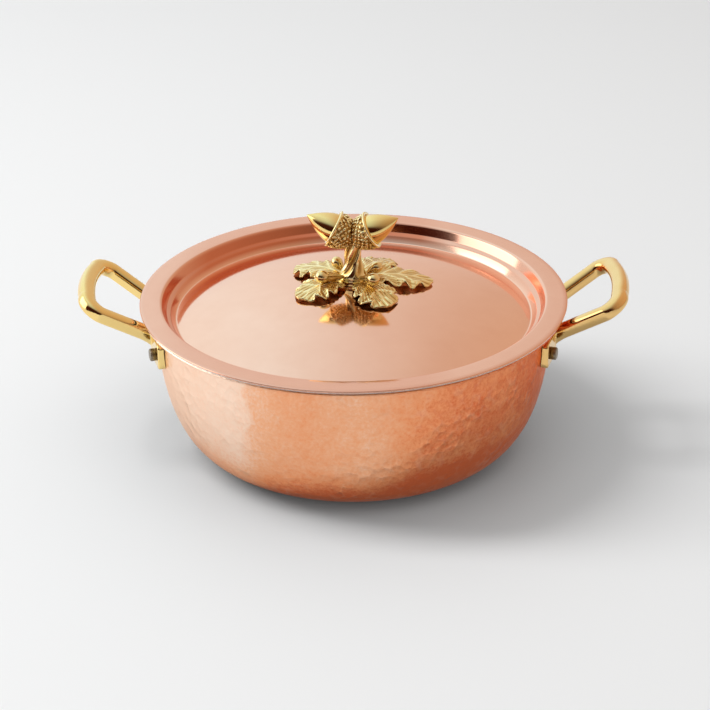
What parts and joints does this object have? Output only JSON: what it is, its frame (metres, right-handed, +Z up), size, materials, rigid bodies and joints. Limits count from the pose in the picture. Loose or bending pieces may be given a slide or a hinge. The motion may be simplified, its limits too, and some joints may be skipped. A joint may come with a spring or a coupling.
{
  "type": "lidded braising pan",
  "caption": "Round hammered copper braiser with brass loop handles and a domed lid with an acorn and oak-leaf knob that lifts off.",
  "frame": {"origin": "middle of the flat base, where it stands on the table", "axes": "+Z up, +X through the middle of the right handle, -Y towards the side seen in the picture"},
  "size_m": [0.359, 0.2798, 0.1605],
  "materials": {
    "hammered_copper": "hammered and brushed copper",
    "polished_copper": "polished copper",
    "tin": "hand-wiped bright tin",
    "polished_brass": "polished cast brass",
    "cast_brass": "cast brass with a fine satin tooling",
    "dark_rivet": "dulled grey-brown metal",
    "fixing_steel": "plain bright steel"
  },
  "bodies": {
    "pan": {"pan_shell": "hammered_copper", "pan_lining": "tin", "handle_right": "polished_brass", "handle_left": "polished_brass", "rivet_right_front": "dark_rivet", "rivet_right_back": "dark_rivet", "rivet_left_front": "dark_rivet", "rivet_left_back": "dark_rivet"},
    "lid": {"lid_shell": "polished_copper", "lid_lining": "tin", "knob_stem": "cast_brass", "acorn_cup_right": "cast_brass", "acorn_cup_left": "cast_brass", "acorn_nut_right": "polished_brass", "acorn_nut_left": "polished_brass", "leaf_right": "cast_brass", "leaf_back_right": "cast_brass", "leaf_back_left": "cast_brass", "leaf_front_left": "cast_brass", "leaf_front_right": "cast_brass", "bud_right_back": "cast_brass", "bud_left_back": "cast_brass", "bud_left_front": "cast_brass", "bud_right_front": "cast_brass", "knob_stud": "fixing_steel", "knob_washer": "fixing_steel", "knob_nut": "fixing_steel"}
  },
  "joints": [
    {"name": "lid_lift", "type": "slide", "parent": "pan", "child": "lid", "axis": [0, 0, 1], "range_m": [0, 0.1]}
  ]
}
